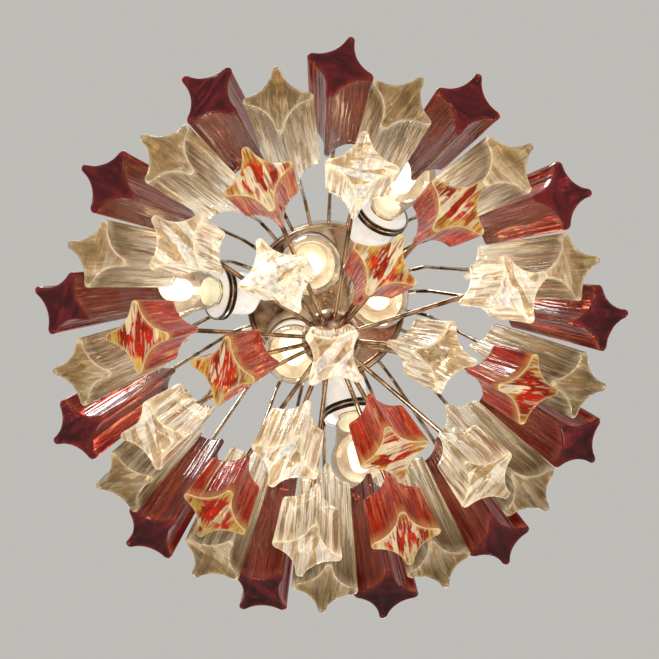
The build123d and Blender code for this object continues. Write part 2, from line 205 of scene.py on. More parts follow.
class LampSettings(bpy.types.PropertyGroup):
    """Sizes and colours of the lampholders and bulbs"""

    tilt: FloatProperty(
        name="Tilt", description="A leaning lamp's angle from straight down", default=radians(57),
        subtype="ANGLE",
    )
    socket_radius: length_setting("Socket radius", "Radius of the porcelain body", 0.0215)
    socket_length: length_setting("Socket length", "Length of the lampholder", 0.048)
    ring_radius: length_setting("Ring radius", "Radius of the dark double ring", 0.0285)
    ring_width: length_setting("Ring width", "Width of the dark double ring", 0.009)
    bore: length_setting("Socket bore", "Depth of the lampholder's bore", 0.029)
    nipple_radius: length_setting("Nipple radius", "Radius of the threaded nipple", 0.005)
    cap_radius: length_setting("Cap radius", "Radius of the bulb's screw cap", 0.0129)
    cap_length: length_setting("Cap length", "Length of the bulb's screw cap", 0.027)
    bulb_radius: length_setting("Bulb radius", "Radius of the bulb's round end", 0.0298)
    bulb_length: length_setting("Bulb length", "Length of the bulb with its cap", 0.105)
    glow: FloatProperty(name="Glow", description="Strength of the lit core", default=3.0)
    porcelain: colour_setting("Porcelain", "White of the lampholders", (0.95, 0.94, 0.91))
    dark_ring: colour_setting("Dark ring", "Dark bronze of the lampholders' rings", (0.030, 0.022, 0.016))
    light: colour_setting("Light", "Colour of the lamps' light", (1.0, 0.86, 0.66))


class StageSettings(bpy.types.PropertyGroup):
    """The floor, the background, the lights and the camera"""

    floor_depth: length_setting("Floor depth", "How far the floor lies under the ceiling", 1.9)
    floor_size: length_setting("Floor size", "Width of the floor", 14.0)
    backdrop: colour_setting("Backdrop", "Pale colour round the object", (0.52, 0.505, 0.48))
    surround: FloatProperty(name="Surround", description="Strength of the even light", default=0.42)
    key: FloatProperty(name="Key light", description="Power of the main light", default=9.0, unit="POWER")
    camera_place: FloatVectorProperty(
        name="Camera", description="Where the camera stands", default=(-0.0215, -0.1823, -1.317),
        subtype="TRANSLATION",
    )
    camera_aim: FloatVectorProperty(
        name="Aim", description="The way the camera looks", default=(0.019, 0.165, 1.0), subtype="XYZ"
    )
    camera_right: FloatVectorProperty(
        name="Right", description="The camera's right-hand direction", default=(0.9998, 0.0, -0.0190),
        subtype="XYZ",
    )
    lens: FloatProperty(name="Lens", description="Focal length", default=66.97, unit="CAMERA")
    film: FloatProperty(name="Film", description="Film width", default=36.0, unit="CAMERA")


# Modelling steps that every piece shares


def deselect():
    """Leaves nothing selected, so that the next operator acts on the new piece alone."""
    bpy.ops.object.select_all(action="DESELECT")


def pick(piece):
    """Selects one piece alone and makes it the active one."""
    deselect()
    piece.select_set(True)
    bpy.context.view_layer.objects.active = piece


def close_and_turn_outward(piece, smooth_below=radians(38)):
    """Merges doubles, points every face outward and smooths all but the sharp edges."""
    pick(piece)
    bpy.ops.object.mode_set(mode="EDIT")
    bpy.ops.mesh.select_all(action="SELECT")
    bpy.ops.mesh.remove_doubles(threshold=SAME_PLACE)
    bpy.ops.mesh.normals_make_consistent(inside=False)
    bpy.ops.object.mode_set(mode="OBJECT")
    bpy.ops.object.shade_smooth_by_angle(angle=smooth_below)


def turned(name, profile, sides):
    """A circle extruded from one station of its profile, as radius and height, to the next."""
    radius, height = profile[0]
    deselect()
    bpy.ops.mesh.primitive_circle_add(vertices=sides, radius=radius, location=(0, 0, height))
    piece = bpy.context.object
    piece.name = name
    bpy.ops.object.transform_apply(location=True, rotation=False, scale=False)
    bpy.ops.object.mode_set(mode="EDIT")
    bpy.ops.mesh.select_mode(type="EDGE")
    bpy.ops.mesh.select_all(action="SELECT")
    for next_radius, next_height in profile[1:]:
        bpy.ops.mesh.extrude_edges_move(
            TRANSFORM_OT_translate={"value": (0, 0, next_height - height)}
        )
        factor = next_radius / radius
        bpy.ops.transform.resize(value=(factor, factor, 1), center_override=(0, 0, next_height))
        radius, height = next_radius, next_height
    bpy.ops.object.mode_set(mode="OBJECT")
    close_and_turn_outward(piece)
    return piece


def arc(centre, radius, start, end, steps):
    """Stations of a profile round an arc, by angle from the outward direction towards +Z."""
    stations = []
    for step in range(steps + 1):
        turn = radians(start + (end - start) * step / steps)
        stations.append((centre[0] + radius * cos(turn), centre[1] + radius * sin(turn)))
    return stations


def copy_to(master, name, place):
    """A copy with its own mesh, with its place in the mesh."""
    piece = master.copy()
    piece.data = master.data.copy()
    piece.name = name
    piece.data.name = name
    piece.data.transform(place)
    bpy.context.scene.collection.objects.link(piece)
    return piece


def join(pieces, name):
    """Makes one piece of several."""
    deselect()
    for piece in pieces:
        piece.select_set(True)
    bpy.context.view_layer.objects.active = pieces[0]
    bpy.ops.object.join()
    pieces[0].name = name
    return pieces[0]


def discard(piece):
    """Removes a master once its copies are made."""
    bpy.data.objects.remove(piece)


def finish_piece(piece, body, slot, *replaced):
    """Sets a piece on its body and hides the CAD nodes that it stands for. Its slot is not used."""
    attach(piece, body)
    if replaced:
        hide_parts(*replaced)


def placed(origin, z_way, x_way):
    """The matrix that puts a piece at an origin, with its own Z and X along two directions."""
    z_axis = z_way.normalized()
    y_axis = z_axis.cross(x_way).normalized()
    x_axis = y_axis.cross(z_axis)
    turn = Matrix((x_axis, y_axis, z_axis)).transposed()
    return Matrix.Translation(origin) @ turn.to_4x4()


def outward(azimuth):
    """The level direction away from the lamp's axis."""
    return Vector((cos(azimuth), sin(azimuth), 0))


def sloping(azimuth, below_level):
    """The direction that leaves outward and falls below level by an angle."""
    return outward(azimuth) * cos(below_level) + DOWN * sin(below_level)


def corners_of(node):
    """The separate corners of a CAD node, each once."""
    corners = {tuple(round(axis, 6) for axis in vertex.co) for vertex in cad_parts[node].data.vertices}
    return [Vector(corner) for corner in sorted(corners)]


def average(points):
    """The mean of some points."""
    return sum(points, Vector()) / len(points)


# Materials


def new_material(name):
    """A material with its node tree and its shader."""
    material = bpy.data.materials.new(name)
    material.use_nodes = True
    tree = material.node_tree
    return material, tree, tree.nodes["Principled BSDF"]


def add_node(tree, kind, inputs=None, **settings):
    """Adds a node. Its inputs, by name or number, get a value or a link."""
    node = tree.nodes.new(kind)
    for setting, value in settings.items():
        setattr(node, setting, value)
    feed(tree, node, inputs or {})
    return node


def feed(tree, node, inputs):
    """Gives a node's inputs, by name or number, a value or a link."""
    for socket, value in inputs.items():
        if isinstance(value, bpy.types.NodeSocket):
            tree.links.new(value, node.inputs[socket])
        else:
            node.inputs[socket].default_value = value


def opaque(colour):
    """A colour with its fourth number. A link stays as it is."""
    return colour if isinstance(colour, bpy.types.NodeSocket) else (*colour[:3], 1.0)


def darker(colour, share):
    """A colour with a share of its strength."""
    return [part * share for part in colour[:3]]


def mix_colour(tree, factor, near, far, blend="MIX"):
    """One colour between two."""
    inputs = {0: factor, 6: opaque(near), 7: opaque(far)}
    return add_node(tree, "ShaderNodeMix", inputs, data_type="RGBA", blend_type=blend).outputs[2]


def layered(tree, colour, layers):
    """Lays colours over a first one, each with the share that it covers."""
    for share, over in layers:
        colour = mix_colour(tree, share, colour, over)
    return colour


def span(tree, value, low, high, to_low=0.0, to_high=1.0):
    """A value's place between two bounds, clamped."""
    node = add_node(
        tree, "ShaderNodeMapRange",
        {"Value": value, "From Min": low, "From Max": high, "To Min": to_low, "To Max": to_high},
    )
    return node.outputs["Result"]


def stretched(tree, place, scale):
    """Coordinates stretched along each axis by its own factor."""
    return combined(tree, "MULTIPLY", place, scale)


def combined(tree, operation, first, second):
    """Two vectors combined. A scale takes a number as the second."""
    other = "Scale" if operation == "SCALE" else 1
    node = add_node(tree, "ShaderNodeVectorMath", {0: first, other: second}, operation=operation)
    return node.outputs["Vector"]


def reckoned(tree, operation, first, second):
    """Two numbers combined."""
    return add_node(tree, "ShaderNodeMath", {0: first, 1: second}, operation=operation).outputs[0]


def times(tree, value, factor):
    """Two numbers multiplied."""
    return reckoned(tree, "MULTIPLY", value, factor)


def object_place(tree):
    """The place on the object, which no pose changes."""
    return add_node(tree, "ShaderNodeTexCoord").outputs["Object"]


def carried(tree, name, output="Fac"):
    """A value that each point of a mesh carries with it."""
    return add_node(tree, "ShaderNodeAttribute", attribute_name=name).outputs[output]


def level_length(tree, place):
    """How far a place is from its Z axis."""
    flat = stretched(tree, place, (1, 1, 0))
    return add_node(tree, "ShaderNodeVectorMath", {0: flat}, operation="LENGTH").outputs["Value"]


def speckle(tree, place, scale, detail=3.0, shift=0.0, roughness=0.5):
    """A noise value, different for each shift."""
    node = add_node(
        tree, "ShaderNodeTexNoise",
        {"Vector": place, "W": shift, "Scale": scale, "Detail": detail, "Roughness": roughness},
        noise_dimensions="4D",
    )
    return node.outputs["Fac"]


def relief(tree, shader, height, strength, distance):
    """Bump from a height."""
    bump = add_node(
        tree, "ShaderNodeBump", {"Height": height, "Strength": strength, "Distance": distance}
    )
    tree.links.new(bump.outputs["Normal"], shader.inputs["Normal"])


def set_shader(tree, shader, **values):
    """Gives the shader's sockets, by name with underscores for spaces, a value or a link."""
    feed(tree, shader, {socket.replace("_", " "): value for socket, value in values.items()})


def patches(tree, place, scale, shift):
    """A number that changes from patch to patch of a cracked pattern, with uneven borders."""
    bend = add_node(tree, "ShaderNodeTexNoise", {"Vector": place, "Scale": scale * 0.7, "Detail": 2.0})
    off = combined(tree, "SUBTRACT", bend.outputs["Color"], (0.5, 0.5, 0.5))
    bent = combined(tree, "ADD", place, combined(tree, "SCALE", off, 0.9 / scale))
    own = combined(tree, "ADD", bent, shift)
    cells = add_node(tree, "ShaderNodeTexVoronoi", {"Vector": own, "Scale": scale})
    return add_node(tree, "ShaderNodeSeparateColor", {0: cells.outputs["Color"]}).outputs[0]


def core_to_tips(tree, finish, place, shift):
    """The glass's first colour, from the bar's core to its tips, with a wandering border."""
    from_tip, to_tip, stray = finish["turn_at"]
    drift = speckle(tree, place, scale=45.0, detail=2.0, shift=shift)
    wander = span(tree, drift, *GRAIN_BAND, -stray, stray)
    reach = reckoned(tree, "ADD", level_length(tree, place), wander)
    return mix_colour(tree, span(tree, reach, from_tip, to_tip), finish["core"], finish["tips"])


def bar_glass(name, finish, seen_through, grain):
    """Cast glass that follows its bar: core to tips; light and dark patches and lines, partly its own streaks
    and partly painted highlights and painted shade; painted highlights on its edges; and painted lamp light
    with a painted glow near the lamps.
    """
    material, tree, shader = new_material(name)
    place = carried(tree, "place_on_bar", "Vector")
    shade = carried(tree, "bar_shade")
    shift = times(tree, shade, 40.0)
    cloud = speckle(tree, stretched(tree, place, (1, 1, 0.35)), scale=90.0, detail=4.0, shift=shift)
    patch = patches(tree, stretched(tree, place, grain["patch_run"]), grain["patch_scale"], shift)
    lines = speckle(
        tree, stretched(tree, place, grain["line_run"]), scale=grain["line_scale"], detail=2.0, shift=shift,
        roughness=0.6,
    )
    # Painted lamp light: the glass takes warm and hot colours and a glow, more of them nearer the lamp's axis
    painted_lamp_light = span(tree, level_length(tree, object_place(tree)), *LIT_BAND)
    over = reckoned(tree, "SUBTRACT", patch, span(tree, shade, 0.0, 1.0, *finish["hot_from"]))
    painted_hot_light_share = span(tree, over, 0.0, PATCH_BORDER)
    painted_light_share = span(tree, over, 0.0, PATCH_BORDER, finish["warm_share"], finish["hot_share"])
    dark, light = finish["dark_part"], 1 - finish["light_part"]
    patch_share, line_share = finish["patch_share"], finish["line_share"]
    # The light and dark patches and lines are partly the glass's own streaks and partly painted highlights
    # and painted shade. Near the lamps the lines take the painted lamp light's colours
    colour = layered(tree, core_to_tips(tree, finish, place, shift), (
        (span(tree, patch, dark, dark - DARK_BORDER, 0.0, patch_share), finish["dark"]),
        (span(tree, patch, light, light + PATCH_BORDER, 0.0, patch_share), finish["light"]),
        (times(tree, painted_lamp_light, painted_light_share), mix_colour(tree, painted_hot_light_share, finish["warm"], finish["painted_hot_light"])),
        (
            span(tree, lines, *DARK_LINES, 0.0, line_share),
            mix_colour(tree, painted_lamp_light, finish["dark"], finish["warm"]),
        ),
        (
            span(tree, lines, *LIGHT_LINES, 0.0, line_share),
            mix_colour(tree, painted_lamp_light, finish["fine_light"], finish["painted_hot_light"]),
        ),
    ))
    for strength in (span(tree, cloud, 0.35, 0.68, 0.8, 1.1), span(tree, shade, 0.0, 1.0, 0.88, 1.06)):
        colour = mix_colour(tree, 1.0, colour, strength, "MULTIPLY")
    # A painted highlight along the bar's edges
    colour = mix_colour(tree, times(tree, carried(tree, "rim"), 0.9), colour, finish["edge"])
    # The glass glows where the painted lamp light is, most in the hot patches: a painted glow, as the glass
    # is no lamp
    lit = times(tree, painted_lamp_light, span(tree, over, 0.0, PATCH_BORDER, 0.5, 1.0))
    relief(tree, shader, lines, grain["bump"], 0.0004)
    set_shader(
        tree, shader, Base_Color=colour, Emission_Color=mix_colour(tree, lit, (0, 0, 0), colour),
        Roughness=span(tree, cloud, *GRAIN_BAND, grain["roughness"] * 0.5, grain["roughness"] * 1.6),
        Transmission_Weight=seen_through, IOR=1.43, Specular_IOR_Level=0.03, Emission_Strength=finish["glow"],
    )
    return material


def plated(name, colour, dark, roughness, grain=(1, 1, 1), scale=60.0):
    """Plated metal with faint clouds of a darker colour and fine grain. On the rods, the pan and the ball the
    dark clouds are painted dark reflections.
    """
    material, tree, shader = new_material(name)
    place = object_place(tree)
    cloud = speckle(tree, place, scale, detail=5.0, shift=1.0, roughness=0.6)
    fine = speckle(tree, stretched(tree, place, grain), scale * 14, detail=3.0, shift=2.0)
    relief(tree, shader, fine, 0.15, 0.0002)
    set_shader(
        tree, shader, Base_Color=mix_colour(tree, span(tree, cloud, 0.44, 0.60), colour, dark), Metallic=1.0,
        Roughness=span(tree, fine, *GRAIN_BAND, roughness * 0.6, roughness * 1.6),
    )
    return material


def porcelain_material(colour):
    """White glazed porcelain with a thin clear coat. It glows evenly in its own colour: painted light from
    the lamps.
    """
    material, tree, shader = new_material("glazed_porcelain")
    place = object_place(tree)
    cloud = speckle(tree, place, scale=45.0, detail=4.0, shift=3.0)
    warm = (colour[0] * 0.93, colour[1] * 0.88, colour[2] * 0.80)
    relief(tree, shader, speckle(tree, place, scale=220.0, detail=2.0, shift=4.0), 0.12, 0.0003)
    # The even emission in the porcelain's own colour is painted light from the lamps
    set_shader(
        tree, shader, Base_Color=mix_colour(tree, span(tree, cloud, *CLOUD_BAND), colour, warm),
        Roughness=0.32, Coat_Weight=0.6, Coat_Roughness=0.08, Subsurface_Weight=0.15,
        Subsurface_Scale=0.004, Emission_Color=opaque(colour), Emission_Strength=0.44,
    )
    return material


def bulb_glass_material(light):
    """Clear bulb glass with a thin smoky film, faintly lit from inside."""
    material, tree, shader = new_material("clear_bulb_glass")
    film = speckle(tree, object_place(tree), scale=34.0, detail=4.0, shift=5.0)
    thin, smoky = (0.90, 0.79, 0.64), (0.60, 0.45, 0.31)
    set_shader(
        tree, shader, Base_Color=mix_colour(tree, span(tree, film, *CLOUD_BAND), thin, smoky),
        Roughness=span(tree, film, *GRAIN_BAND, 0.01, 0.08), Transmission_Weight=1.0, IOR=1.45,
        Emission_Color=opaque(light), Emission_Strength=0.02,
    )
    return material


def lit_material(name, light, strength):
    """A lit part of a bulb, a little uneven along its length."""
    material, tree, shader = new_material(name)
    flicker = speckle(tree, object_place(tree), scale=160.0, detail=2.0, shift=6.0)
    white = (1.0, 0.97, 0.88)
    shade = mix_colour(tree, span(tree, flicker, 0.35, 0.65), light, white)
    set_shader(
        tree, shader, Base_Color=shade, Emission_Color=shade, Emission_Strength=strength, Roughness=0.35
    )
    return material


def glow_material():
    """The soft glow round a lit core: thin enough to see through, brighter in places."""
    material, tree, shader = new_material("soft_glow")
    cloud = speckle(tree, object_place(tree), scale=34.0, detail=3.0, shift=9.0)
    faint, bright = (0.10, 0.07, 0.04), (1.0, 0.92, 0.76)
    set_shader(
        tree, shader, Base_Color=opaque((1, 1, 1)), Transmission_Weight=1.0, IOR=1.03, Roughness=0.1,
        Emission_Color=mix_colour(tree, span(tree, cloud, 0.38, 0.62), faint, bright), Emission_Strength=0.5,
    )
    return material


def moulded_material(name, colour, roughness):
    """Moulded insulator with a fine skin."""
    material, tree, shader = new_material(name)
    place = object_place(tree)
    cloud = speckle(tree, place, scale=120.0, detail=4.0, shift=7.0)
    shade = mix_colour(tree, span(tree, cloud, *CLOUD_BAND), colour, darker(colour, 0.8))
    relief(tree, shader, speckle(tree, place, scale=900.0, detail=2.0, shift=8.0), 0.2, 0.0002)
    set_shader(tree, shader, Base_Color=shade, Roughness=roughness)
    return material


def give(piece, *materials):
    """Gives a piece its materials, in order. Each face keeps the number of its own."""
    for slot, material in enumerate(materials):
        if slot < len(piece.data.materials):
            piece.data.materials[slot] = material
        else:
            piece.data.materials.append(material)


# Glass bars


def star_radius(bar, turn):
    """How far the star's outline is from the bar's axis, at an angle from a tip."""
    half_tip = bar.tip_round
    from_tip = abs((turn + pi / 4) % (pi / 2) - pi / 4)
    tip_centre = bar.tip_radius - half_tip
    shoulder = Vector((tip_centre + half_tip * 0.4, half_tip))
    valley = Vector((cos(pi / 4), sin(pi / 4))) * bar.valley_radius
    far_shoulder = Vector((shoulder.y, shoulder.x))
    half_chord = (far_shoulder - shoulder).length / 2
    hollow = ((shoulder + far_shoulder) / 2 - valley).length
    side_radius = (half_chord**2 + hollow**2) / (2 * hollow)
    side_centre = bar.valley_radius + side_radius
    reaches = []
    tip_room = half_tip**2 - (tip_centre * sin(from_tip)) ** 2
    if tip_room > 0:
        reaches.append(tip_centre * cos(from_tip) + sqrt(tip_room))
    off_side = pi / 4 - from_tip
    side_room = side_radius**2 - (side_centre * sin(off_side)) ** 2
    if side_room > 0:
        reaches.append(side_centre * cos(off_side) - sqrt(side_room))
    return min(reaches)


def bar_stations(bar, length):
    """Scale and height of each ring of points, from the middle of the outer face to the bore's foot."""
    stations = [(share, -bar.dish * (1 - share**2)) for share in FACE_RINGS]
    stations += [(share, -bar.edge * fall) for share, fall in EDGE_RINGS]
    run = length - 2 * bar.edge
    rings = max(3, round(run / bar.ring_step))
    for ring in range(1, rings + 1):
        share = ring / rings
        stations.append((1 + (bar.inner_scale - 1) * share, -bar.edge - run * share))
    inner, bore = bar.inner_scale, bar.bore_radius / bar.tip_radius
    stations += [(inner * 0.975, -length + bar.edge * 0.3), (inner * 0.94, -length), (inner * 0.5, -length)]
    stations += [(bore, -length), (bore, -length + bar.bore_depth), (NEARLY_POINT, -length + bar.bore_depth)]
    return stations


def rib_height(bar, run, depth):
    """Height of the ribs and waves on a side, by the run round the outline and the depth."""
    phase = tau * run / bar.rib_width
    return bar.rib * sum(
        height * sin(phase * pace + shift + sway * sin(tau * depth / slow))
        for height, pace, shift, sway, slow in RIB_WAVES
    )


def outline_number(vertex, sides):
    """The number of the outline's point that a vertex stands over."""
    return round(atan2(vertex.co.y, vertex.co.x) % tau / tau * sides) % sides


def press_to_star(bar, piece, outline, length):
    """Moves a round bar's points onto the star and ripples its face. Gives each point's part in the rim's
    painted highlight.
    """
    painted_rim_highlights = []
    for vertex in piece.data.vertices:
        scale, depth = vertex.co.xy.length / bar.tip_radius, -vertex.co.z
        on_face = depth <= bar.edge * PAST_EDGE
        in_bore = scale < bar.bore_radius / bar.tip_radius * PAST_BORE and not on_face
        if not in_bore:
            star = outline[outline_number(vertex, len(outline))] / bar.tip_radius
            vertex.co.x *= star
            vertex.co.y *= star
        if on_face:
            painted_rim_highlights.append(min(1.0, max(0.0, (scale - RIM_START) / RIM_WIDTH)))
            wave = noise.noise(Vector((vertex.co.x, vertex.co.y, length)) * RIPPLES)
            vertex.co.z += bar.ripple * wave * (1 - scale**4)
        else:
            painted_rim_highlights.append(max(0.0, 1 - (depth - bar.edge) / RIM_DEPTH) if not in_bore else 0.0)
    piece.data.update()
    return painted_rim_highlights


def add_ribs(bar, piece, outline, length):
    """Raises the ribs on a bar's sides, but not on its inner end. They fade towards its outer face."""
    runs = [0.0]
    for near, far in zip(outline, outline[1:]):
        runs.append(runs[-1] + sqrt(near**2 + far**2 - 2 * near * far * cos(tau / len(outline))))
    for vertex in piece.data.vertices:
        depth = -vertex.co.z
        on_side = bar.edge * PAST_EDGE < depth < length - bar.edge * 0.9
        in_bore = vertex.co.xy.length < bar.tip_radius * 0.2
        if on_side and not in_bore:
            run = runs[outline_number(vertex, len(outline))]
            fade = min(1.0, (depth - bar.edge) / RIB_FADE)
            vertex.co += vertex.normal * (rib_height(bar, run, depth) - bar.rib * 0.5) * fade


def carry(piece, name, kind, field, values):
    """Gives each point of a piece a value that its material reads."""
    piece.data.attributes.new(name, kind, "POINT").data.foreach_set(field, values)


def glass_bar_master(bar, name, length):
    """One bar at the origin, its outer face at height 0 and its inner end below."""
    sides = 4 * bar.points
    outline = [star_radius(bar, tau * index / sides) for index in range(sides)]
    stations = bar_stations(bar, length)
    piece = turned(name, [(scale * bar.tip_radius, height) for scale, height in stations], sides)
    painted_rim_highlights = press_to_star(bar, piece, outline, length)
    add_ribs(bar, piece, outline, length)
    places = [axis for vertex in piece.data.vertices for axis in vertex.co]
    carry(piece, "place_on_bar", "FLOAT_VECTOR", "vector", places)
    # Each point's share of the painted highlight round the bar's rim
    carry(piece, "rim", "FLOAT", "value", painted_rim_highlights)
    # The face's glass reaches a little over the softened edge
    for face in piece.data.polygons:
        face.material_index = 1 if face.center.z > -bar.edge * 0.6 else 0
    return piece


def bar_place(bar, node):
    """Where a bar's CAD solid is: its matrix, its length, the way it points and its azimuth."""
    corners = corners_of(node)
    middle = average(corners)
    azimuth = atan2(middle.y, middle.x)
    if middle.xy.length < MILLIMETRE:
        pointing, tangent = DOWN, Vector((0, 1, 0))
    else:
        pointing, tangent = sloping(azimuth, bar.slope), outward(azimuth + pi / 2)
    across = pointing.cross(tangent)
    depths = [corner.dot(pointing) for corner in corners]
    near, far = min(depths), max(depths)
    rim = [corner for corner, depth in zip(corners, depths) if depth > far - SAME_LEVEL]
    centre = average(rim)
    reach = max((corner - centre).length for corner in rim)
    tips = [corner - centre for corner in rim if (corner - centre).length > reach - SAME_LEVEL]
    # The star looks the same at every quarter turn, so the mean is taken of four times each tip's turn
    turns = [4 * atan2(tip.dot(across), tip.dot(tangent)) for tip in tips]
    turn = atan2(sum(map(sin, turns)), sum(map(cos, turns))) / 4
    tip_way = tangent * cos(turn) + across * sin(turn)
    return placed(centre, pointing, tip_way), far - near, pointing, azimuth


# A bar's finish: colours of its core, tips, light and dark patches, light lines and edge, and of the warm
# and hot painted lamp light on the glass near the lamps. The patches and lines are partly the glass's own
# streaks and partly painted highlights and painted shade. The edge colour is a painted highlight, and glow is
# the strength of the painted glow near the lamps. A part says how much of the glass is dark or light, and a
# share how much a patch or line covers. hot_from gives the patches that take the hot painted light, for the
# first shade of bar and the last, and turn_at gives how far from the axis the core ends and the tips begin,
# and how far that border strays.


def side_finish(bar, colour):
    """Colours of the sides of a bar, by its glass, with their painted highlights, painted shade and painted
    lamp light.
    """
    finishes = {
        "ruby": dict(
            core=bar.ruby_side, tips=(0.30, 0.012, 0.014), light=(0.78, 0.28, 0.13),
            dark=(0.12, 0.002, 0.004), fine_light=(0.60, 0.13, 0.06), edge=(0.72, 0.24, 0.14),
            warm=(0.52, 0.10, 0.04), painted_hot_light=(0.86, 0.36, 0.15), dark_part=0.30, light_part=0.10,
            patch_share=0.8, line_share=0.5, warm_share=0.4, hot_share=0.6, hot_from=(0.7, 0.5),
            glow=0.0, turn_at=(0.017, 0.023, 0.006),
        ),
        "clear": dict(
            core=bar.clear_side, tips=bar.clear, light=(0.88, 0.68, 0.34), dark=(0.14, 0.07, 0.02),
            fine_light=(0.66, 0.48, 0.20), edge=(0.92, 0.80, 0.56), warm=(0.62, 0.42, 0.22),
            painted_hot_light=(1.0, 0.95, 0.80), dark_part=0.34, light_part=0.14, patch_share=0.85, line_share=0.75,
            warm_share=0.7, hot_share=0.92, hot_from=(0.50, 0.28), glow=0.34,
            turn_at=(0.015, 0.021, 0.006),
        ),
        "amber": dict(
            core=bar.amber, tips=(0.88, 0.05, 0.005), light=(1.0, 0.84, 0.40),
            dark=(0.28, 0.006, 0.002), fine_light=(0.96, 0.20, 0.02), edge=(0.98, 0.80, 0.30),
            warm=(0.40, 0.012, 0.003), painted_hot_light=(0.99, 0.60, 0.20), dark_part=0.34, light_part=0.06,
            patch_share=0.95, line_share=0.5, warm_share=0.2, hot_share=0.95, hot_from=(0.97, 0.86),
            glow=0.15, turn_at=(0.017, 0.023, 0.006),
        ),
    }
    return finishes[colour]


def face_finish(bar, colour):
    """Colours of the outer face of a bar, by its glass, with its painted highlights, painted shade and
    painted lamp light.
    """
    finishes = {
        "ruby": dict(
            core=bar.ruby, tips=(0.24, 0.005, 0.015), light=(0.40, 0.008, 0.022),
            dark=(0.05, 0.0, 0.002), fine_light=(0.40, 0.010, 0.024), edge=(0.50, 0.03, 0.05),
            warm=bar.ruby, painted_hot_light=(0.30, 0.006, 0.012), dark_part=0.35, light_part=0.18, patch_share=0.85,
            line_share=0.35, warm_share=0.0, hot_share=0.3, hot_from=(0.7, 0.5), glow=0.0,
            turn_at=(0.015, 0.022, 0.008),
        ),
        "clear": dict(
            core=bar.clear, tips=bar.clear_side, light=(0.72, 0.54, 0.26), dark=(0.16, 0.08, 0.025),
            fine_light=(0.60, 0.43, 0.20), edge=(0.96, 0.84, 0.58), warm=(0.66, 0.43, 0.20),
            painted_hot_light=(1.0, 0.97, 0.88), dark_part=0.32, light_part=0.2, patch_share=0.6, line_share=0.5,
            warm_share=0.85, hot_share=0.90, hot_from=(0.64, 0.34), glow=0.36,
            turn_at=(0.012, 0.018, 0.008),
        ),
        "amber": dict(
            core=bar.amber, tips=bar.amber_tip, light=(0.99, 0.84, 0.26), dark=(0.34, 0.012, 0.003),
            fine_light=(0.99, 0.76, 0.16), edge=(1.0, 0.92, 0.44), warm=(0.50, 0.05, 0.008),
            painted_hot_light=(0.97, 1.0, 0.66), dark_part=0.28, light_part=0.2, patch_share=0.95, line_share=0.8,
            warm_share=0.0, hot_share=0.9, hot_from=(0.88, 0.50), glow=0.35,
            turn_at=(0.013, 0.019, 0.010),
        ),
    }
    return finishes[colour]


def bar_nodes():
    """The names of all the glass bars' CAD nodes."""
    return sorted(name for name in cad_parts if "_bar" in name)


def bar_colour(node):
    """The glass of a bar, from its name."""
    return next(colour for colour in ("ruby", "amber", "clear") if colour in node)


class CHANDELIER_OT_add_glass_bars(bpy.types.Operator):
    """Adds the long and short glass bars in place of their CAD solids"""

    bl_idname = "chandelier.add_glass_bars"
    bl_label = "Glass Bars"

    def execute(self, context):
        bar = context.scene.chandelier_glass
        finishes = {
            colour: (
                bar_glass(colour + "_side_glass", side_finish(bar, colour), through_side, SIDE_GRAIN),
                bar_glass(colour + "_face_glass", face_finish(bar, colour), through_face, FACE_GRAIN),
            )
            for colour, (through_side, through_face) in SEEN_THROUGH.items()
        }
        masters = {}
        shades = random.Random(GLASS_SEED)
        for node in bar_nodes():
            place, length, _, _ = bar_place(bar, node)
            size = round(length, 4)
            if size not in masters:
                masters[size] = glass_bar_master(bar, "bar_master", size)
            quarter = Matrix.Rotation(pi / 2 * shades.randrange(4), 4, "Z")
            piece = copy_to(masters[size], node + "_glass", place @ quarter)
            carry(piece, "bar_shade", "FLOAT", "value", [shades.random()] * len(piece.data.vertices))
            colour = bar_colour(node)
            give(piece, *finishes[colour])
            finish_piece(piece, FRAME_BODY, colour + "_glass", node)
        for master in masters.values():
            discard(master)
        return {"FINISHED"}


# Rods


def with_bends(route, bend):
    """Adds a point before and after each corner, so that only the corner is round."""
    points = [route[0]]
    for before, corner, after in zip(route, route[1:], route[2:]):
        back, on = before - corner, after - corner
        points.append(corner + back.normalized() * min(bend, back.length * BEND_SHARE))
        points.append(corner)
        points.append(corner + on.normalized() * min(bend, on.length * BEND_SHARE))
    points.append(route[-1])
    return points


def bent_rods(name, routes, radius, bend):
    """Round rods along their routes, as one piece."""
    curve = bpy.data.curves.new(name, "CURVE")
    curve.dimensions = "3D"
    curve.bevel_depth = radius
    curve.bevel_resolution = 3
    curve.use_fill_caps = True
    for route in routes:
        points = with_bends(route, bend)
        spline = curve.splines.new("NURBS")
        spline.points.add(len(points) - 1)
        for point, corner in zip(spline.points, points):
            point.co = (*corner, 1.0)
        spline.order_u = 3
        spline.use_endpoint_u = True
        spline.resolution_u = 5
    piece = bpy.data.objects.new(name, curve)
    bpy.context.scene.collection.objects.link(piece)
    pick(piece)
    bpy.ops.object.convert(target="MESH")
    piece = bpy.context.object
    close_and_turn_outward(piece)
    return piece


def lamp_places(lamp):
    """For each bulb: its name, its tip, the way it points and its azimuth if it leans."""
    places = []
    for name in sorted(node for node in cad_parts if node.startswith("bulb_")):
        corners = corners_of(name)
        middle = average(corners)
        low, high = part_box(name)
        azimuth = atan2(middle.y, middle.x)
        leans = (high - low).z < lamp.bulb_length - MILLIMETRE
        pointing = sloping(azimuth, pi / 2 - lamp.tilt) if leans else DOWN
        reach = max((corner - middle).dot(pointing) for corner in corners)
        places.append((name, middle + pointing * reach, pointing, azimuth if leans else None))
    return places


def rod_end(bar, node):
    """A bar's inner end, the way the bar points and its azimuth."""
    place, length, pointing, azimuth = bar_place(bar, node)
    return place.translation - pointing * length, pointing, azimuth


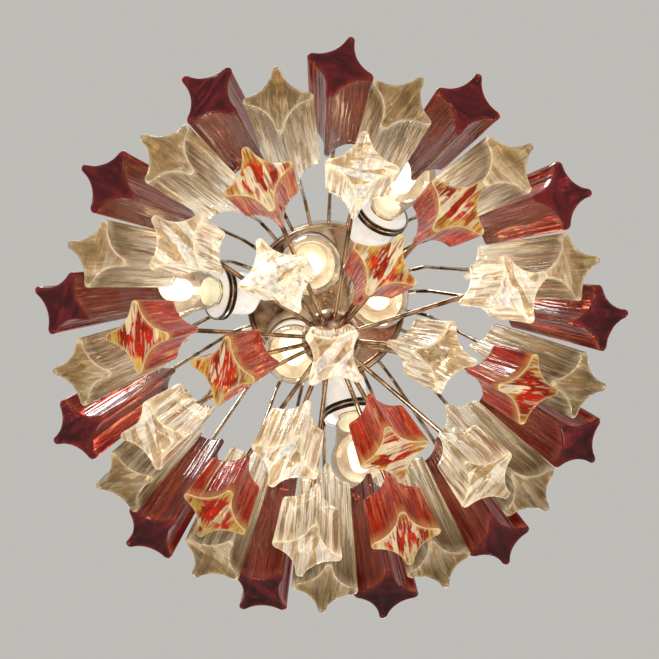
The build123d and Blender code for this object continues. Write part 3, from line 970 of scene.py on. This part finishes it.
def outer_route(bar, rod, node, arch_reach):
    """From the pan's wall to a long bar, over a lamp's bulb where one leans in front."""
    end, pointing, azimuth = rod_end(bar, node)
    way = outward(azimuth)
    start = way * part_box("pan")[1].x + DOWN * rod.row_depth
    route = [start, start + way * rod.level_run]
    if arch_reach:
        for off_tip, fall in (
            (-rod.arch_shoulder, rod.arch_shoulder_fall),
            (rod.arch_beyond, rod.arch_beyond_fall),
            (rod.arch_outside, rod.arch_outside_fall),
        ):
            route.append(way * (arch_reach + off_tip) + DOWN * (rod.row_depth + fall))
    else:
        route.append(start + way * rod.bend_reach + DOWN * rod.bend_fall)
    return route + [end - pointing * rod.outer_bend_gap, end + pointing * rod.insert]


def inner_route(bar, rod, node, ball):
    """From inside the ball to a short bar."""
    end, pointing, _ = rod_end(bar, node)
    if pointing == DOWN:
        return [ball + DOWN * (rod.ball_radius - rod.rod_in_ball), end + pointing * rod.insert]
    glass_bend = end - pointing * rod.inner_bend_gap
    from_ball = (glass_bend - ball).normalized()
    start = ball + from_ball * (rod.ball_radius - rod.rod_in_ball)
    return [start, glass_bend, end + pointing * rod.insert]


def ball_centre():
    """The middle of the ball's CAD solid."""
    low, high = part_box("ball")
    return Vector((0, 0, (low.z + high.z) / 2))


def ferrules(bar, rod, nodes, name):
    """A small turned ferrule on each rod, against the end of its glass bar."""
    tall, wide, slim = rod.ferrule_length, rod.ferrule_radius, rod.radius * 1.02
    collar = wide * 0.72
    profile = [(slim, -tall), (collar, -tall)] + arc((collar, -tall * 0.72), wide * 0.2, -80, 80, 4)
    profile += [(wide * 0.74, -tall * 0.4), (wide, -tall * 0.28), (wide, -tall * 0.05)]
    profile += [(slim, 0), (slim, -tall)]
    master = turned("ferrule_master", profile, 20)
    copies = []
    for node in nodes:
        end, pointing, azimuth = rod_end(bar, node)
        copies.append(copy_to(master, name, placed(end, pointing, outward(azimuth + pi / 2))))
    discard(master)
    return join(copies, name)


class CHANDELIER_OT_add_rods(bpy.types.Operator):
    """Adds the bent rods from the pan and from the ball, with their ferrules"""

    bl_idname = "chandelier.add_rods"
    bl_label = "Rods"

    def execute(self, context):
        bar = context.scene.chandelier_glass
        rod = context.scene.chandelier_rods
        lamp = context.scene.chandelier_lamps
        leaning = {}
        for _, tip, _, azimuth in lamp_places(lamp):
            if azimuth is not None:
                leaning[azimuth] = tip.xy.length
        long_nodes = [node for node in bar_nodes() if node.startswith(("ruby_", "clear_"))]
        short_nodes = [node for node in bar_nodes() if node not in long_nodes]
        outer = []
        for node in long_nodes:
            azimuth = rod_end(bar, node)[2]
            over_lamp = [reach for lean, reach in leaning.items() if cos(lean - azimuth) > cos(ARCH_WITHIN)]
            outer.append(outer_route(bar, rod, node, over_lamp[0] if over_lamp else 0))
        inner = [inner_route(bar, rod, node, ball_centre()) for node in short_nodes]
        # The dark clouds on the rods are painted dark reflections
        painted_dark_reflection = darker(rod.rod_chrome, 0.3)
        chrome = plated("rod_chrome", rod.rod_chrome, painted_dark_reflection, roughness=0.09, grain=(1, 1, 0.2), scale=70.0)
        brass = plated("ferrule_brass", rod.brass, darker(rod.brass, 0.6), roughness=0.22, scale=200.0)
        for name, routes, node in (("outer_rods", outer, "outer_arms"), ("inner_rods", inner, "inner_arms")):
            piece = bent_rods(name, routes, rod.radius, rod.bend)
            give(piece, chrome)
            finish_piece(piece, FRAME_BODY, "warm_chrome", node)
        for name, nodes in (("outer_ferrules", long_nodes), ("inner_ferrules", short_nodes)):
            piece = ferrules(bar, rod, nodes, name)
            give(piece, brass)
            finish_piece(piece, FRAME_BODY, "warm_chrome")
        return {"FINISHED"}


# Pan, ball and the other metal


def pan_profile(pan_radius, pan_height):
    """The pan's wall, its rolled lip and its set-back disc, as one closed line."""
    wall, bead, recess, hole, soft = 0.0015, 0.0022, 0.012, 0.0061, 0.0025
    underside = -pan_height + recess
    inner = pan_radius - 2 * bead
    profile = [(pan_radius - wall, 0), (pan_radius, 0), (pan_radius, -pan_height + bead)]
    profile += arc((pan_radius - bead, -pan_height + bead), bead, 0, -180, 10)[1:]
    profile += [(inner, -pan_height + bead * 1.6)]
    profile += arc((inner - soft, underside - soft), soft, 0, 90, 6)
    profile += [(inner * 0.6, underside), (inner * 0.3, underside), (hole + wall, underside)]
    profile += [(hole, underside + wall / 3), (hole, underside + wall), (inner * 0.5, underside + wall)]
    profile += [(pan_radius - wall * 2, underside + wall), (pan_radius - wall, underside + wall * 2)]
    profile += [(pan_radius - wall, 0)]
    return profile


class CHANDELIER_OT_add_pan(bpy.types.Operator):
    """Adds the turned pan with its rolled lip and set-back disc"""

    bl_idname = "chandelier.add_pan"
    bl_label = "Pan"

    def execute(self, context):
        rod = context.scene.chandelier_rods
        low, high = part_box("pan")
        piece = turned("plated_pan", pan_profile(high.x, -low.z), 144)
        # The dark clouds on the pan are painted dark reflections
        painted_dark_reflection = (0.15, 0.075, 0.045)
        give(piece, plated("pan_chrome", rod.chrome, painted_dark_reflection, roughness=0.12, scale=18.0))
        finish_piece(piece, FRAME_BODY, "warm_chrome", "pan")
        return {"FINISHED"}


def ball_profile(centre, radius, stem_radius):
    """The ball, from its foot to its neck round the stem, and back inside."""
    neck, inside = stem_radius * 1.02, centre + radius * 0.6
    profile = [(NEARLY_ZERO, centre - radius)]
    profile += arc((0, centre), radius, -88, degrees(acos(neck * 1.35 / radius)), 34)
    profile += [(neck * 1.3, centre + radius), (neck * 1.02, centre + radius * 1.02)]
    profile += [(neck, inside), (NEARLY_ZERO, inside)]
    return profile


class CHANDELIER_OT_add_ball(bpy.types.Operator):
    """Adds the turned ball with its neck, and finishes the stem, collar and bracket"""

    bl_idname = "chandelier.add_ball"
    bl_label = "Ball and Stem"

    def execute(self, context):
        rod = context.scene.chandelier_rods
        profile = ball_profile(ball_centre().z, rod.ball_radius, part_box("stem")[1].x)
        piece = turned("ball_turned", profile, 72)
        # The dark clouds on the ball are painted dark reflections
        bright, painted_dark_reflection = (0.74, 0.58, 0.44), (0.22, 0.14, 0.10)
        give(piece, plated("ball_chrome", bright, painted_dark_reflection, roughness=0.14, grain=(1, 1, 3), scale=55.0))
        finish_piece(piece, FRAME_BODY, "warm_chrome", "ball")
        plain = plated(
            "stem_chrome", rod.rod_chrome, rod.chrome, roughness=0.2, grain=(1, 1, 0.1), scale=70.0
        )
        for node in ("stem", "pan_collar"):
            give(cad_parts[node], plain)
        dull = (0.30, 0.31, 0.33)
        zinc = plated("bracket_zinc", rod.steel, dull, roughness=0.42, scale=130.0)
        give(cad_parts["ceiling_bracket"], zinc)
        return {"FINISHED"}


def screw_profile(head, tall):
    """A screw's round head, sunk at its middle."""
    sunk = tall * 0.6
    return [
        (NEARLY_ZERO, sunk), (head * 0.25, sunk), (head * 0.3, tall), (head * 0.85, tall), (head, sunk),
        (head, 0), (NEARLY_ZERO, 0),
    ]


class CHANDELIER_OT_add_terminal_screws(bpy.types.Operator):
    """Adds the screws of the terminal block and gives the block its plastic"""

    bl_idname = "chandelier.add_terminal_screws"
    bl_label = "Terminal Screws"

    def execute(self, context):
        rod = context.scene.chandelier_rods
        ivory = (0.72, 0.70, 0.64)
        give(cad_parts["terminal_block"], moulded_material("block_plastic", ivory, roughness=0.45))
        corners = corners_of("terminal_block")
        top = max(corner.z for corner in corners)
        middle = average([corner for corner in corners if corner.z > top - SAME_LEVEL])
        along = outward(atan2(middle.y, middle.x) + pi / 2)
        head, tall, spacing = 0.0024, 0.0009, 0.0113
        master = turned("screw_master", screw_profile(head, tall), 20)
        copies = []
        for step in (-1, 0, 1):
            seat = middle + along * step * spacing - DOWN * SAME_PLACE
            copies.append(copy_to(master, "screw", Matrix.Translation(seat)))
        discard(master)
        piece = join(copies, "terminal_screws")
        give(piece, plated("screw_brass", rod.brass, darker(rod.brass, 0.6), roughness=0.3, scale=300.0))
        finish_piece(piece, FRAME_BODY, "terminal_plastic")
        return {"FINISHED"}


# Lamps


def threaded(name, radius, foot, head, pitch, depth, sides):
    """A rod with thread crests, from one height to another."""
    turns = max(2, round((head - foot) / pitch))
    root, flank = radius - depth, pitch * 0.3
    profile = [(NEARLY_ZERO, foot), (root, foot)]
    for turn in range(turns):
        crest = foot + (head - foot) * (turn + 0.5) / turns
        profile += [(root, crest - flank), (radius, crest), (root, crest + flank)]
    profile += [(root, head), (NEARLY_ZERO, head)]
    return turned(name, profile, sides)


def socket_profile(lamp):
    """The porcelain body, from its boss to its mouth and down its bore."""
    body, tall, flare = lamp.socket_radius, lamp.socket_length, lamp.ring_radius * 0.93
    ring_foot, bore_foot = tall - lamp.ring_width, tall - lamp.bore
    clearance, rim, shoulder, shoulder_height = 0.0002, 0.0003, 0.006, 0.0115
    bore, groove = lamp.cap_radius + 2 * clearance, body * 0.975
    boss_foot, boss_edge, boss = (0.0105, clearance), (0.0125, 0.0012), (0.0132, 0.0045)
    profile = [(NEARLY_ZERO, clearance), boss_foot, boss_edge, boss]
    profile += arc((body - shoulder, shoulder_height), shoulder, -75, 0, 7)
    profile += [(body, ring_foot * 0.55), (groove, ring_foot * 0.57), (groove, ring_foot * 0.63)]
    profile += [(body, ring_foot * 0.65), (body, ring_foot - 0.004)]
    profile += [(body * 1.06, ring_foot - 0.0015), (flare, ring_foot + 0.0012), (flare, tall - 0.0012)]
    profile += [(flare * 0.97, tall - rim), (bore * 1.12, tall - rim), (bore, tall - 0.002)]
    profile += [(bore, bore_foot), (NEARLY_ZERO, bore_foot)]
    return profile


def ring_profile(lamp):
    """The double ring round the mouth: two bands with a groove between, as one closed line."""
    outer, inner, groove = lamp.ring_radius, lamp.ring_radius * 0.935, lamp.ring_radius * 0.962
    foot, wide, bead = lamp.socket_length - lamp.ring_width, lamp.ring_width, 0.0009
    profile = [(inner, foot), (outer * 0.985, foot)]
    profile += arc((outer - bead, foot + wide * 0.2), bead, -60, 60, 4)
    profile += [(groove, foot + wide * 0.39), (groove, foot + wide * 0.57)]
    profile += arc((outer - bead, foot + wide * 0.8), bead, -60, 60, 4)
    profile += [(outer * 0.98, foot + wide), (inner, foot + wide), (inner, foot)]
    return profile


def cap_profile(lamp):
    """The bulb's screw cap: contact, insulator, thread and skirt."""
    radius, tall = lamp.cap_radius, lamp.cap_length
    contact, solder, insulator, shoulder = (0.0036, 0.0), (0.0045, 0.0012), (0.0062, 0.0018), (0.0095, 0.0042)
    profile = [(NEARLY_ZERO, 0.0), contact, solder, insulator, shoulder]
    crests, first, pitch, depth, steps = 5, 0.0062, 0.0032, 0.0005, 6
    for crest in range(crests):
        for step in range(steps):
            share = step / steps
            height = first + pitch * (crest + 0.5) + pitch * share
            profile.append((radius - depth * (1 - cos(tau * share)), height))
    skirt = first + pitch * (crests + 0.6)
    profile += [(radius - 0.0004, skirt), (radius, skirt + 0.0008), (radius, tall - 0.0006)]
    profile += [(radius * 0.96, tall), (NEARLY_ZERO, tall)]
    return profile


def envelope_profile(lamp):
    """The bulb's glass, from inside its cap along the neck to the tip."""
    neck, globe, steps, join_turn = 0.0178, lamp.bulb_radius, 7, -40
    middle = lamp.bulb_length - globe - 0.0002
    start = lamp.cap_length - 0.002
    foot = start + 0.0105
    profile = [(lamp.cap_radius * 0.93, start), (lamp.cap_radius * 0.985, start + 0.0035)]
    profile += [(neck * 0.93, start + 0.0065), (neck, foot)]
    wide = globe * cos(radians(join_turn))
    height = middle + globe * sin(radians(join_turn))
    for step in range(1, steps):
        share = step / steps
        ease = share**2 * (3 - 2 * share) * 0.45 + share**1.6 * 0.55
        profile.append((neck + (wide - neck) * ease, foot + (height - foot) * share))
    profile += arc((0, middle), globe, join_turn, 88, 20)
    profile += [(NEARLY_ZERO, middle + globe)]
    return profile


def mount_profile(lamp):
    """The frosted glass dome at the bulb's mouth and the stem on it, which carries the lit core."""
    foot = lamp.cap_length - 0.001
    dome = (
        (NEARLY_ZERO, 0), (0.0106, 0), (0.0108, 0.0025), (0.0134, 0.0065), (0.0141, 0.0090), (0.0136, 0.0118),
        (0.0112, 0.0145), (0.0070, 0.0162),
    )
    stem = ((0.0040, 0.0172), (0.0034, 0.0215), (0.0042, 0.0245), (0.0030, 0.027), (NEARLY_ZERO, 0.0275))
    return [(radius, foot + rise) for radius, rise in dome + stem]


def capsule_profile(wide, foot, head):
    """A rounded capsule, for the lit core of a bulb and the glow round it."""
    profile = [(NEARLY_ZERO, foot)] + arc((0, foot + wide), wide, -85, 0, 8)
    profile += arc((0, head - wide), wide, 0, 85, 8) + [(NEARLY_ZERO, head)]
    return profile


def lamp_matrix(tip, pointing, back):
    """The place of a piece that points the lamp's way from some distance behind the bulb's tip."""
    sideways = Vector((1, 0, 0)) if pointing == DOWN else Vector((-pointing.y, pointing.x, 0))
    return placed(tip - pointing * back, pointing, sideways)


class CHANDELIER_OT_add_lampholders(bpy.types.Operator):
    """Adds the porcelain lampholders, their threaded nipples and their dark double rings"""

    bl_idname = "chandelier.add_lampholders"
    bl_label = "Lampholders"

    def execute(self, context):
        lamp = context.scene.chandelier_lamps
        rod = context.scene.chandelier_rods
        body_master = turned("body_master", socket_profile(lamp), 64)
        ring_master = turned("ring_master", ring_profile(lamp), 72)
        bodies, rings, nipples = [], [], []
        reach = lamp.socket_length + lamp.bulb_length - lamp.cap_length
        nipple_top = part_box("terminal_block")[0].z + NIPPLE_ABOVE_DISC
        for _, tip, pointing, _ in lamp_places(lamp):
            place = lamp_matrix(tip, pointing, reach)
            bodies.append(copy_to(body_master, "body", place))
            rings.append(copy_to(ring_master, "ring", place))
            back = (nipple_top - place.translation.z) / -pointing.z
            nipple = threaded(
                "nipple", lamp.nipple_radius * 0.98, foot=-back, head=0.001, pitch=0.0016, depth=0.0005,
                sides=24,
            )
            nipple.data.transform(place)
            nipples.append(nipple)
        discard(body_master)
        discard(ring_master)
        body = join(bodies, "porcelain_bodies")
        give(body, porcelain_material(lamp.porcelain))
        finish_piece(body, FRAME_BODY, "porcelain", "lamp_sockets")
        ring = join(rings, "mouth_rings")
        steel, worn_steel, worn_bronze = (0.62, 0.52, 0.40), (0.40, 0.30, 0.22), (0.06, 0.04, 0.03)
        light_metal = plated("ring_steel", steel, worn_steel, roughness=0.25, scale=120.0)
        dark_metal = plated("ring_dark_bronze", lamp.dark_ring, worn_bronze, roughness=0.3, scale=120.0)
        give(ring, dark_metal, light_metal)
        self.mark_groove(ring, lamp)
        finish_piece(ring, FRAME_BODY, "porcelain", "lamp_sockets")
        nipple = join(nipples, "threaded_nipples")
        give(nipple, plated("nipple_steel", rod.rod_chrome, rod.steel, roughness=0.3, scale=150.0))
        finish_piece(nipple, FRAME_BODY, "warm_chrome", "lamp_sockets")
        return {"FINISHED"}

    def mark_groove(self, ring, lamp):
        """Gives the light metal to the faces of each ring's groove."""
        places = lamp_places(lamp)
        for face in ring.data.polygons:
            off_axis = min(self.off_axis(face.center, tip, pointing) for _, tip, pointing, _ in places)
            if lamp.ring_radius * 0.95 < off_axis < lamp.ring_radius * 0.966:
                face.material_index = 1

    def off_axis(self, point, tip, pointing):
        """How far a point is off a lamp's axis."""
        way = point - tip
        return (way - pointing * way.dot(pointing)).length


class CHANDELIER_OT_add_bulbs(bpy.types.Operator):
    """Adds the clear bulbs with their caps, glass stems and lit cores"""

    bl_idname = "chandelier.add_bulbs"
    bl_label = "Bulbs"

    def execute(self, context):
        lamp = context.scene.chandelier_lamps
        rod = context.scene.chandelier_rods
        envelope = turned("envelope_master", envelope_profile(lamp), 64)
        pick(envelope)
        wall = envelope.modifiers.new("wall", "SOLIDIFY")
        wall.thickness = BULB_WALL
        wall.offset = -1
        bpy.ops.object.modifier_apply(modifier=wall.name)
        foot, head = lamp.cap_length + 0.021, lamp.bulb_length - 0.0065
        core = capsule_profile(CORE_RADIUS, foot + 0.007, head - 0.010)
        glow = capsule_profile(GLOW_RADIUS, foot, head)
        worn_brass, frosted = (0.40, 0.25, 0.10), (0.82, 1.0, 0.86)
        cap_brass = plated("cap_brass", rod.brass, worn_brass, roughness=0.25, scale=150.0)
        stem_glass = lit_material("lit_stem_glass", frosted, strength=0.9)
        masters = (
            ("glass", envelope, bulb_glass_material(lamp.light)),
            ("cap", turned("cap_master", cap_profile(lamp), 48), cap_brass),
            ("stem", turned("stem_master", mount_profile(lamp), 32), stem_glass),
            ("core", turned("core_master", core, 32), lit_material("lit_core", lamp.light, lamp.glow)),
            ("glow", turned("glow_master", glow, 40), glow_material()),
        )
        for name, tip, pointing, _ in lamp_places(lamp):
            place = lamp_matrix(tip, pointing, lamp.bulb_length)
            for part, master, material in masters:
                piece = copy_to(master, f"{name}_{part}", place)
                give(piece, material)
                finish_piece(piece, name, "bulb_glass", name)
        for _, master, _ in masters:
            discard(master)
        return {"FINISHED"}


# Stage


def seen_directly(tree):
    """1 for what the camera sees, also in metal or through glass, and 0 for what lights the object."""
    path = add_node(tree, "ShaderNodeLightPath")
    seen = path.outputs["Is Camera Ray"]
    for ray in ("Is Glossy Ray", "Is Transmission Ray"):
        seen = reckoned(tree, "MAXIMUM", seen, path.outputs[ray])
    return seen


def soft_light(name, place, power):
    """A soft square light that the camera doesn't see."""
    data = bpy.data.lights.new(name, "AREA")
    data.shape = "SQUARE"
    data.size = LIGHT_SIZE
    data.energy = power
    lamp = bpy.data.objects.new(name, data)
    lamp.location = place
    lamp.rotation_euler = (Vector(place) - Vector(LIGHT_AIM)).to_track_quat("Z", "Y").to_euler()
    lamp.visible_camera = False
    bpy.context.scene.collection.objects.link(lamp)


class CHANDELIER_OT_add_stage(bpy.types.Operator):
    """Adds the pale floor, the even surround, the soft lights and the camera"""

    bl_idname = "chandelier.add_stage"
    bl_label = "Stage"

    def execute(self, context):
        stage = context.scene.chandelier_stage
        scene = context.scene
        self.add_floor(stage)
        self.add_surround(stage, scene)
        for name, place, share in LIGHTS:
            soft_light(name, place, stage.key * share)
        self.add_camera(stage, scene)
        scene.view_settings.view_transform = "Standard"
        return {"FINISHED"}

    def add_camera(self, stage, scene):
        """The camera, under the lamp and looking up."""
        data = bpy.data.cameras.new("camera")
        data.lens = stage.lens
        data.sensor_width = stage.film
        camera = bpy.data.objects.new("camera", data)
        scene.collection.objects.link(camera)
        back = -Vector(stage.camera_aim).normalized()
        right = Vector(stage.camera_right).normalized()
        up = back.cross(right)
        turn = Matrix((right, up, back)).transposed().to_4x4()
        camera.matrix_world = Matrix.Translation(Vector(stage.camera_place)) @ turn
        scene.camera = camera

    def add_floor(self, stage):
        """A wide pale floor under the lamp."""
        deselect()
        bpy.ops.mesh.primitive_plane_add(size=stage.floor_size, location=(0, 0, -stage.floor_depth))
        floor = bpy.context.object
        floor.name = "floor"
        bpy.ops.object.transform_apply(location=True, rotation=False, scale=False)
        material, tree, shader = new_material("floor_paint")
        cloud = speckle(tree, object_place(tree), scale=2.0, detail=3.0, shift=9.0)
        shade = mix_colour(tree, cloud, stage.backdrop, darker(stage.backdrop, 0.97))
        set_shader(
            tree, shader, Base_Color=shade, Emission_Color=shade, Roughness=0.9,
            Emission_Strength=times(tree, seen_directly(tree), 0.72),
        )
        give(floor, material)

    def add_surround(self, stage, scene):
        """An even surround, pale where it is seen and softer where it lights."""
        world = bpy.data.worlds.new("surround")
        world.use_nodes = True
        scene.world = world
        tree = world.node_tree
        strength = span(tree, seen_directly(tree), 0.0, 1.0, stage.surround, 1.0)
        feed(tree, tree.nodes["Background"], {"Color": opaque(stage.backdrop), "Strength": strength})


class CHANDELIER_PT_panel(bpy.types.Panel):
    """Lists the pieces of the chandelier and their settings"""

    bl_idname = "CHANDELIER_PT_panel"
    bl_label = "Chandelier"
    bl_space_type = "VIEW_3D"
    bl_region_type = "UI"
    bl_category = "Chandelier"

    def draw(self, context):
        for operator in OPERATORS:
            self.layout.operator(operator.bl_idname)
        for group in SETTINGS:
            settings = getattr(context.scene, group)
            box = self.layout.box()
            for setting in settings.__annotations__:
                box.prop(settings, setting)


SETTINGS = {
    "chandelier_glass": GlassBarSettings,
    "chandelier_rods": RodSettings,
    "chandelier_lamps": LampSettings,
    "chandelier_stage": StageSettings,
}
OPERATORS = (
    CHANDELIER_OT_add_stage,
    CHANDELIER_OT_add_glass_bars,
    CHANDELIER_OT_add_rods,
    CHANDELIER_OT_add_pan,
    CHANDELIER_OT_add_ball,
    CHANDELIER_OT_add_terminal_screws,
    CHANDELIER_OT_add_lampholders,
    CHANDELIER_OT_add_bulbs,
)


def register():
    """Adds the settings, the operators and the panel to Blender."""
    for settings in SETTINGS.values():
        bpy.utils.register_class(settings)
    for operator in OPERATORS:
        bpy.utils.register_class(operator)
    bpy.utils.register_class(CHANDELIER_PT_panel)
    for name, settings in SETTINGS.items():
        setattr(bpy.types.Scene, name, PointerProperty(type=settings))


def unregister():
    """Takes them out again."""
    for name in SETTINGS:
        delattr(bpy.types.Scene, name)
    bpy.utils.unregister_class(CHANDELIER_PT_panel)
    for operator in reversed(OPERATORS):
        bpy.utils.unregister_class(operator)
    for settings in reversed(SETTINGS.values()):
        bpy.utils.unregister_class(settings)


def main():
    register()
    for operator in OPERATORS:
        group, action = operator.bl_idname.split(".")
        getattr(getattr(bpy.ops, group), action)()


if __name__ == "__main__":
    main()
